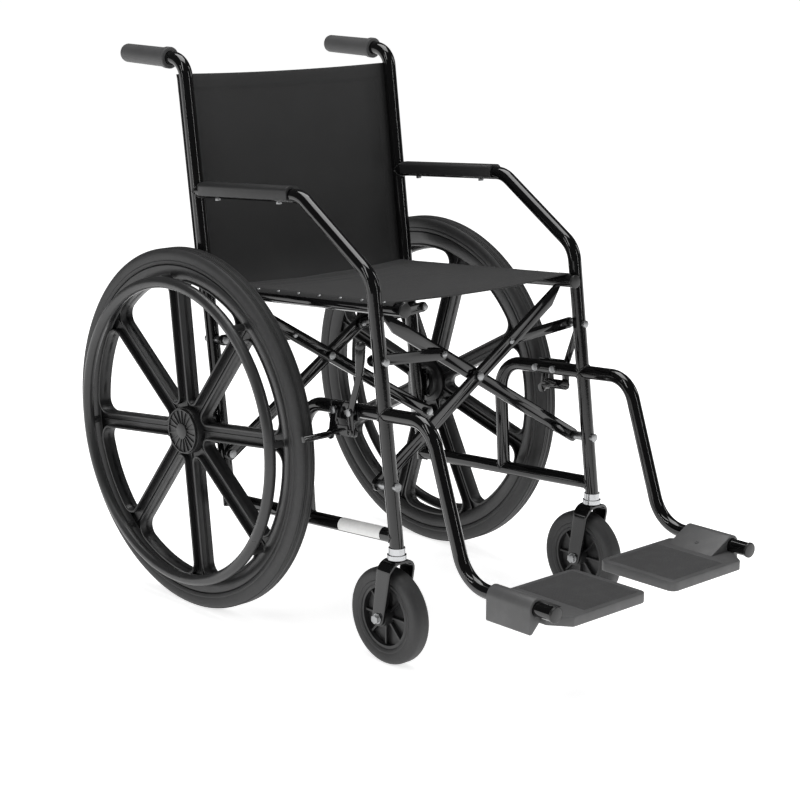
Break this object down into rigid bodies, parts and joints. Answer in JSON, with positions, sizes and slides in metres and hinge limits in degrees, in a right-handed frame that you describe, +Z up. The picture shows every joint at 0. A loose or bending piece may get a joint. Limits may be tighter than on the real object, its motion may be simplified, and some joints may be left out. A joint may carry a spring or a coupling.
{
  "type": "manual wheelchair",
  "caption": "Folding manual wheelchair with large spoked push wheels and handrims, swivelling casters, fabric seat and back slings, flip-up footplates, lever brakes and push handles.",
  "frame": {"origin": "centre of the footprint on the floor", "axes": "+Z up, front faces -Y, +X is the left side of the sitter"},
  "size_m": [0.6334, 1.083, 0.9122],
  "materials": {
    "frame_paint": "gloss black powder coat",
    "fabric": "woven nylon",
    "tyre": "satin solid rubber",
    "wheel_plastic": "satin moulded",
    "handrim_plastic": "semi-gloss moulded",
    "grey_plastic": "fine texture",
    "pad_plastic": "fine texture",
    "plug_plastic": "satin",
    "grip_rubber": "soft ribbed",
    "brake_grip_plastic": "gloss",
    "zinc": "zinc plated",
    "chrome": "polished"
  },
  "bodies": {
    "right_frame": {"right_back_post": "frame_paint", "right_armrest_tube": "frame_paint", "right_brake_tube": "frame_paint", "right_lower_rail": "frame_paint", "right_leg_tube": "frame_paint", "right_push_grip": "grip_rubber", "right_armrest_pad": "pad_plastic", "right_brackets": "frame_paint", "right_frame_bolts": "zinc", "right_axle": "zinc", "right_headset": "chrome", "right_foot_tube_cap": "plug_plastic", "back_sling": "fabric"},
    "left_frame": {"left_back_post": "frame_paint", "left_armrest_tube": "frame_paint", "left_brake_tube": "frame_paint", "left_lower_rail": "frame_paint", "left_leg_tube": "frame_paint", "left_push_grip": "grip_rubber", "left_armrest_pad": "pad_plastic", "left_brackets": "frame_paint", "left_frame_bolts": "zinc", "left_axle": "zinc", "left_headset": "chrome", "left_foot_tube_cap": "plug_plastic"},
    "brace_a": {"cross_arms_a": "frame_paint", "left_seat_rail": "frame_paint", "left_rail_plugs": "plug_plastic", "cross_pins": "zinc", "seat_sling": "fabric"},
    "brace_b": {"cross_arms_b": "frame_paint", "right_seat_rail": "frame_paint", "right_rail_plugs": "plug_plastic"},
    "right_link": {"right_links": "frame_paint"},
    "right_rear_wheel": {"right_tyre": "tyre", "right_wheel": "wheel_plastic", "right_handrim": "handrim_plastic", "right_hub_cap": "wheel_plastic"},
    "right_caster_swivel": {"right_caster_fork": "frame_paint", "right_caster_axle": "zinc"},
    "right_caster_wheel": {"right_caster_hub": "grey_plastic", "right_caster_tyre": "tyre"},
    "right_foot": {"right_footplate": "grey_plastic"},
    "right_lever": {"right_brake_lever": "frame_paint", "right_brake_grip": "brake_grip_plastic"},
    "right_shoe": {"right_brake_shoe": "frame_paint"},
    "left_link": {"left_links": "frame_paint"},
    "left_rear_wheel": {"left_tyre": "tyre", "left_wheel": "wheel_plastic", "left_handrim": "handrim_plastic", "left_hub_cap": "wheel_plastic"},
    "left_caster_swivel": {"left_caster_fork": "frame_paint", "left_caster_axle": "zinc"},
    "left_caster_wheel": {"left_caster_hub": "grey_plastic", "left_caster_tyre": "tyre"},
    "left_foot": {"left_footplate": "grey_plastic"},
    "left_lever": {"left_brake_lever": "frame_paint", "left_brake_grip": "brake_grip_plastic"},
    "left_shoe": {"left_brake_shoe": "frame_paint"}
  },
  "joints": [
    {"name": "fold", "type": "hinge", "parent": "right_frame", "child": "brace_a", "pos_m": [-0.222, 0.03878, 0.26806], "axis": [0, -0.9976, 0.0698], "range_deg": [0, 36], "deforming": ["back_sling"]},
    {"name": "scissor", "type": "hinge", "parent": "brace_a", "child": "brace_b", "pos_m": [0, 0.04813, 0.40174], "axis": [0, -0.9976, 0.0698], "range_deg": [-72, 0], "deforming": ["seat_sling"]},
    {"name": "left_side_upright", "type": "hinge", "parent": "brace_b", "child": "left_frame", "pos_m": [0.222, 0.03878, 0.26806], "axis": [0, -0.9976, 0.0698], "range_deg": [0, 36]},
    {"name": "right_link_swing", "type": "hinge", "parent": "right_frame", "child": "right_link", "pos_m": [-0.222, 0.05205, 0.45785], "axis": [0, -0.9976, 0.0698], "range_deg": [0, 67.12]},
    {"name": "left_link_swing", "type": "hinge", "parent": "left_frame", "child": "left_link", "pos_m": [0.222, 0.05205, 0.45785], "axis": [0, 0.9976, -0.0698], "range_deg": [0, 67.12]},
    {"name": "right_wheel_spin", "type": "hinge", "parent": "right_frame", "child": "right_rear_wheel", "pos_m": [-0.2725, 0.2415, 0.3], "axis": [1, 0, 0], "continuous": true},
    {"name": "right_caster_turn", "type": "hinge", "parent": "right_frame", "child": "right_caster_swivel", "pos_m": [-0.222, -0.20304, 0.1723], "axis": [0, 0, 1], "continuous": true},
    {"name": "right_caster_spin", "type": "hinge", "parent": "right_caster_swivel", "child": "right_caster_wheel", "pos_m": [-0.222, -0.18804, 0.0775], "axis": [1, 0, 0], "continuous": true},
    {"name": "right_footplate_flip", "type": "hinge", "parent": "right_frame", "child": "right_foot", "pos_m": [-0.222, -0.4515, 0.168], "axis": [0, -1, 0], "range_deg": [0, 90]},
    {"name": "right_brake_push", "type": "hinge", "parent": "right_frame", "child": "right_lever", "pos_m": [-0.24, -0.11822, 0.38931], "axis": [1, 0, 0], "range_deg": [0, 20]},
    {"name": "right_shoe_swing", "type": "hinge", "parent": "right_frame", "child": "right_shoe", "pos_m": [-0.238, -0.07832, 0.38652], "axis": [1, 0, 0], "range_deg": [0, 11.4]},
    {"name": "left_wheel_spin", "type": "hinge", "parent": "left_frame", "child": "left_rear_wheel", "pos_m": [0.2725, 0.2415, 0.3], "axis": [1, 0, 0], "continuous": true},
    {"name": "left_caster_turn", "type": "hinge", "parent": "left_frame", "child": "left_caster_swivel", "pos_m": [0.222, -0.20304, 0.1723], "axis": [0, 0, 1], "continuous": true},
    {"name": "left_caster_spin", "type": "hinge", "parent": "left_caster_swivel", "child": "left_caster_wheel", "pos_m": [0.222, -0.18804, 0.0775], "axis": [1, 0, 0], "continuous": true},
    {"name": "left_footplate_flip", "type": "hinge", "parent": "left_frame", "child": "left_foot", "pos_m": [0.222, -0.4515, 0.168], "axis": [0, 1, 0], "range_deg": [0, 90]},
    {"name": "left_brake_push", "type": "hinge", "parent": "left_frame", "child": "left_lever", "pos_m": [0.24, -0.11822, 0.38931], "axis": [1, 0, 0], "range_deg": [0, 20]},
    {"name": "left_shoe_swing", "type": "hinge", "parent": "left_frame", "child": "left_shoe", "pos_m": [0.238, -0.07832, 0.38652], "axis": [1, 0, 0], "range_deg": [0, 11.4]}
  ],
  "couplings": [
    {"joint": "scissor", "follows": "fold", "ratio": -2},
    {"joint": "left_side_upright", "follows": "fold", "ratio": 1},
    {"joint": "right_link_swing", "follows": "fold", "ratio": 1.8644},
    {"joint": "left_link_swing", "follows": "fold", "ratio": 1.8644},
    {"joint": "right_footplate_flip", "follows": "fold", "ratio": 2.5},
    {"joint": "right_shoe_swing", "follows": "right_brake_push", "ratio": 0.57},
    {"joint": "left_footplate_flip", "follows": "fold", "ratio": 2.5},
    {"joint": "left_shoe_swing", "follows": "left_brake_push", "ratio": 0.57}
  ]
}
